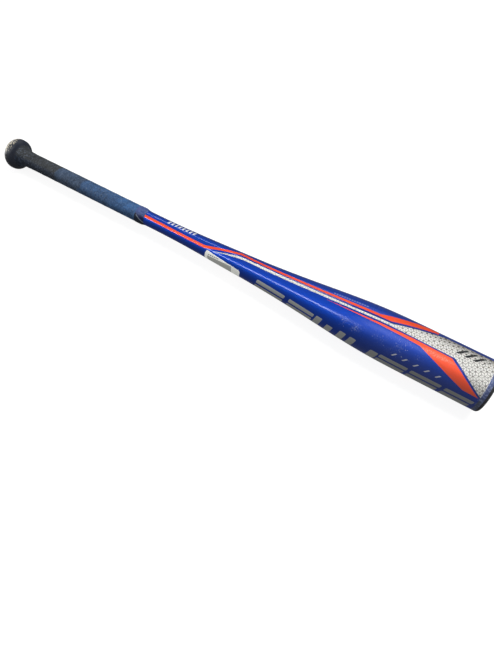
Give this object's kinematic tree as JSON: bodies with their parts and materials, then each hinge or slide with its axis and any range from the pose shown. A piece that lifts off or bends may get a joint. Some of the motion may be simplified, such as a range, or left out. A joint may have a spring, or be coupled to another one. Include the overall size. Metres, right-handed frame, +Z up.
{
  "type": "baseball bat",
  "caption": "One-piece alloy youth baseball bat: a tapered tube with a knob, a wrapped grip and a moulded cap that closes the barrel.",
  "frame": {"origin": "on the bat's axis, at the middle of its length", "axes": "+X along the bat from the knob to the barrel's end, +Z up when the bat lies down, +Y to the left of +X; the label faces -Y and down"},
  "size_m": [0.7874, 0.0666, 0.0666],
  "materials": {
    "tube_paint": "gloss royal blue enamel over the alloy, with orange, white and silver graphics",
    "knob_paint": "satin navy-black enamel, worn to bare metal at the rim",
    "weld_metal": "bare weld bead",
    "plug_rubber": "matte",
    "decal_film": "printed film",
    "tape_fabric": "double-sided cloth tape",
    "wrap_rubber": "soft textured wrap that fades from charcoal to blue",
    "collar_tape": "stretched vinyl tape",
    "label_film": "printed paper-like film",
    "cap_plastic": "moulded, satin dark grey",
    "bond_resin": "cured adhesive",
    "badge_plastic": "plain domed badge"
  },
  "bodies": {
    "root": {"bat_shell": "tube_paint", "knob": "knob_paint", "knob_weld": "weld_metal", "knob_plug": "plug_rubber", "knob_decal": "decal_film", "grip_base_tape": "tape_fabric", "grip_wrap": "wrap_rubber", "grip_collar": "collar_tape", "taper_label": "label_film", "end_cap": "cap_plastic", "end_cap_bond": "bond_resin", "end_cap_badge": "badge_plastic"}
  },
  "joints": []
}
